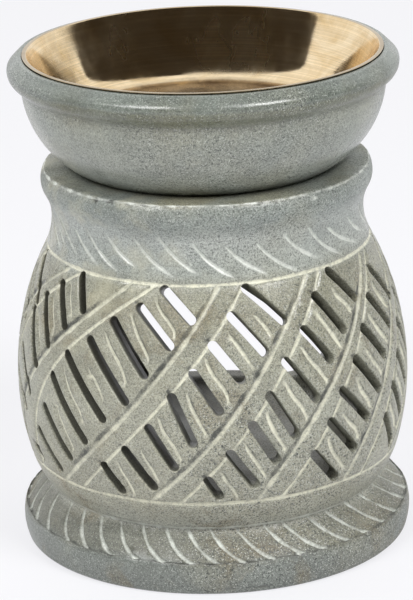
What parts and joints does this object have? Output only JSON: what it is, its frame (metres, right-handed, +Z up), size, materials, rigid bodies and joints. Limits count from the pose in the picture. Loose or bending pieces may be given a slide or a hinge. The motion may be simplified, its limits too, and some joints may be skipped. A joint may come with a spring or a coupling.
{
  "type": "essential oil burner",
  "caption": "Round carved stone oil burner: pierced, waisted lamp body with an arched rear opening for a tea light and a lift-off stone dish lined with spun brass.",
  "frame": {"origin": "centre of the foot's flat underside, on the surface the burner stands on", "axes": "+Z up along the turning axis; +Y out through the arched opening for the tea light; -Y is the pierced front"},
  "size_m": [0.079, 0.079, 0.1],
  "materials": {
    "body_stone": "rubbed and carved",
    "dish_stone": "turned and rubbed smooth",
    "brass": "spun"
  },
  "bodies": {
    "lamp": {"stone_body": "body_stone"},
    "dish": {"stone_dish": "dish_stone", "brass_liner": "brass"}
  },
  "joints": [
    {"name": "dish_lift", "type": "slide", "parent": "lamp", "child": "dish", "axis": [0, 0, 1], "range_m": [0, 0.05]}
  ]
}
